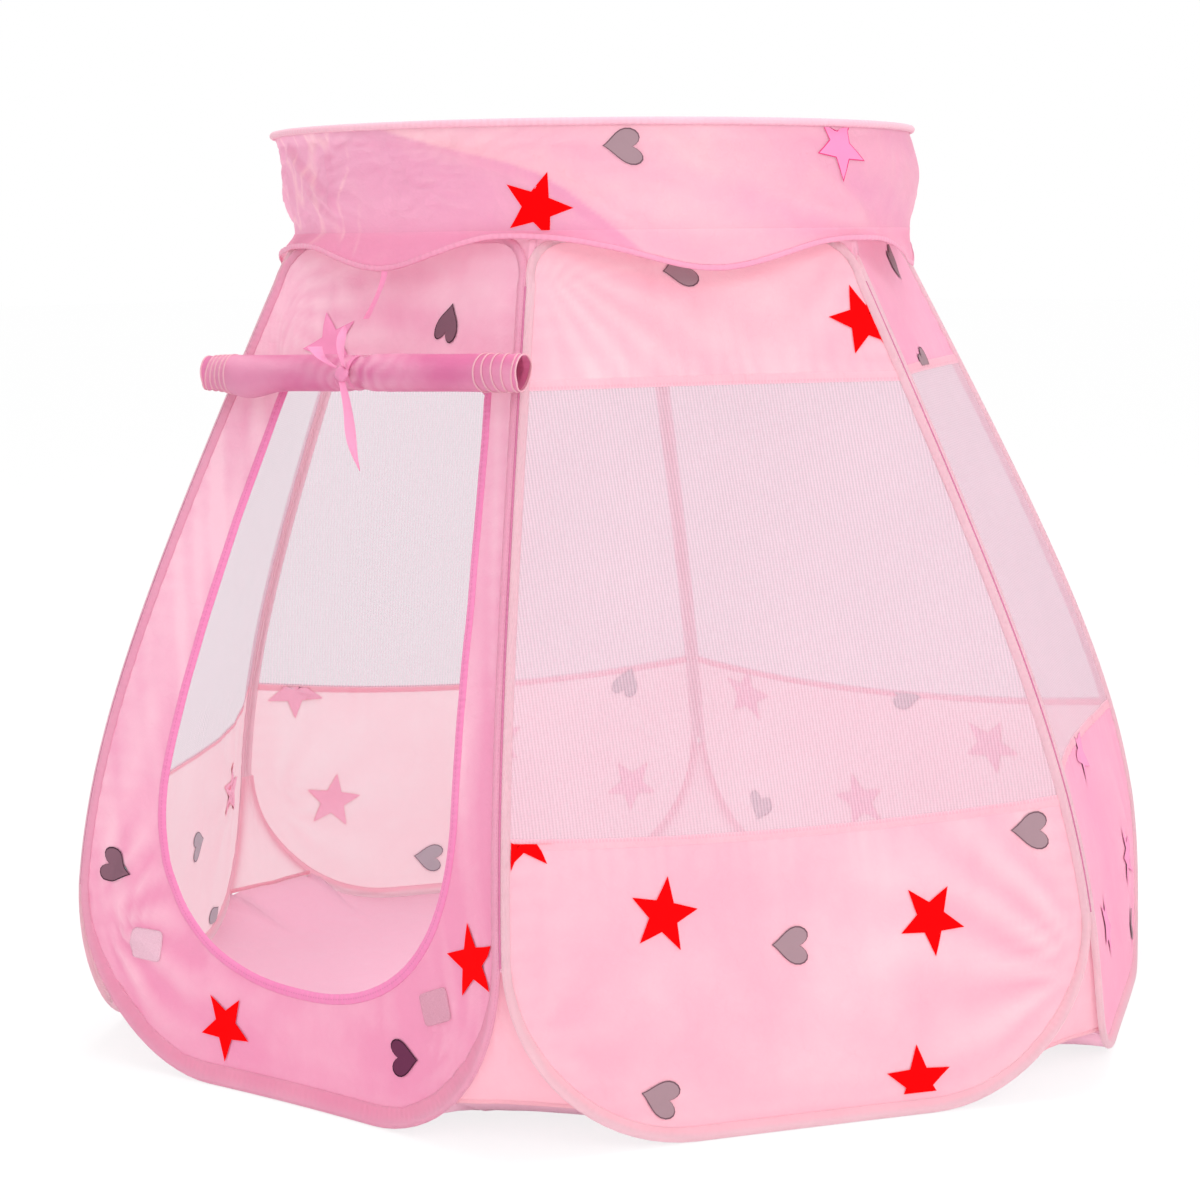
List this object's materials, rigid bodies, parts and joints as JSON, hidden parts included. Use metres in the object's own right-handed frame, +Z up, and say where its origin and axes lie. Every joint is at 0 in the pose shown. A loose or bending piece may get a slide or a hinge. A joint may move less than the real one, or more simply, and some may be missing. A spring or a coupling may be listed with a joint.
{
  "type": "play tent",
  "caption": "Children's pop-up play tent with hexagonal spring-hoop walls, net windows, a rolled door flap and an open top ring on a soft collar.",
  "frame": {"origin": "on the underside of the floor sheet, under the middle of the six-sided plan", "axes": "+Z up, -Y out of the door side, +X along the tent's longest extent"},
  "size_m": [1.1784, 1.0654, 0.9159],
  "materials": {
    "hoop_sleeve": "matte woven tape",
    "spring_wire": "bare steel",
    "printed_fabric": "matte thin woven fabric with printed stars and hearts",
    "net": "fine soft net",
    "door_fabric": "matte thin woven fabric with printed stars and hearts",
    "binding": "matte bias tape",
    "hook_and_loop": "matte hook and loop pad",
    "floor_fabric": "matte thin woven fabric",
    "ring_sleeve": "matte woven tape",
    "collar_fabric": "thin translucent woven fabric",
    "flap_fabric": "thin woven fabric, rolled",
    "ribbon": "satin ribbon"
  },
  "bodies": {
    "tent": {"hoop_0_sleeve": "hoop_sleeve", "hoop_0_wire": "spring_wire", "gusset_0": "printed_fabric", "hoop_1_sleeve": "hoop_sleeve", "hoop_1_wire": "spring_wire", "gusset_1": "printed_fabric", "hoop_2_sleeve": "hoop_sleeve", "hoop_2_wire": "spring_wire", "gusset_2": "printed_fabric", "hoop_3_sleeve": "hoop_sleeve", "hoop_3_wire": "spring_wire", "gusset_3": "printed_fabric", "hoop_4_sleeve": "hoop_sleeve", "hoop_4_wire": "spring_wire", "gusset_4": "printed_fabric", "hoop_5_sleeve": "hoop_sleeve", "hoop_5_wire": "spring_wire", "gusset_5": "printed_fabric", "wall_1_base": "printed_fabric", "wall_1_net": "net", "wall_1_band": "printed_fabric", "wall_2_base": "printed_fabric", "wall_2_net": "net", "wall_2_band": "printed_fabric", "wall_3_base": "printed_fabric", "wall_3_net": "net", "wall_3_band": "printed_fabric", "wall_4_base": "printed_fabric", "wall_4_net": "net", "wall_4_band": "printed_fabric", "wall_5_base": "printed_fabric", "wall_5_net": "net", "wall_5_band": "printed_fabric", "door_wall": "door_fabric", "door_binding": "binding", "door_patch_left": "hook_and_loop", "door_patch_right": "hook_and_loop", "floor_sheet": "floor_fabric", "collar": "collar_fabric", "collar_hem": "collar_fabric"},
    "ring": {"ring_sleeve": "ring_sleeve", "ring_wire": "spring_wire"},
    "flap": {"door_flap_roll": "flap_fabric", "door_flap_root": "flap_fabric", "tie_loop": "ribbon", "tie_knot": "ribbon", "tie_end_left": "ribbon", "tie_end_right": "ribbon"},
    "tail": {"tie_tail": "ribbon"},
    "loose_ribbon": {"spare_ribbon": "ribbon"}
  },
  "joints": [
    {"name": "ring_press", "type": "slide", "parent": "tent", "child": "ring", "axis": [0, 0, 1], "range_m": [-0.085, 0], "deforming": ["collar"]},
    {"name": "flap_lift", "type": "hinge", "parent": "tent", "child": "flap", "pos_m": [-0.00672, -0.33698, 0.694], "axis": [-0.9996, -0.0268, 0], "range_deg": [0, 40]},
    {"name": "tail_swing", "type": "hinge", "parent": "flap", "child": "tail", "pos_m": [-0.0096, -0.41065, 0.67378], "axis": [-0.9996, -0.0268, 0], "range_deg": [-20, 40]},
    {"name": "ribbon_swing", "type": "hinge", "parent": "tent", "child": "loose_ribbon", "pos_m": [-0.01629, -0.34307, 0.7754], "axis": [-0.9996, -0.0268, 0], "range_deg": [-10, 40]}
  ]
}
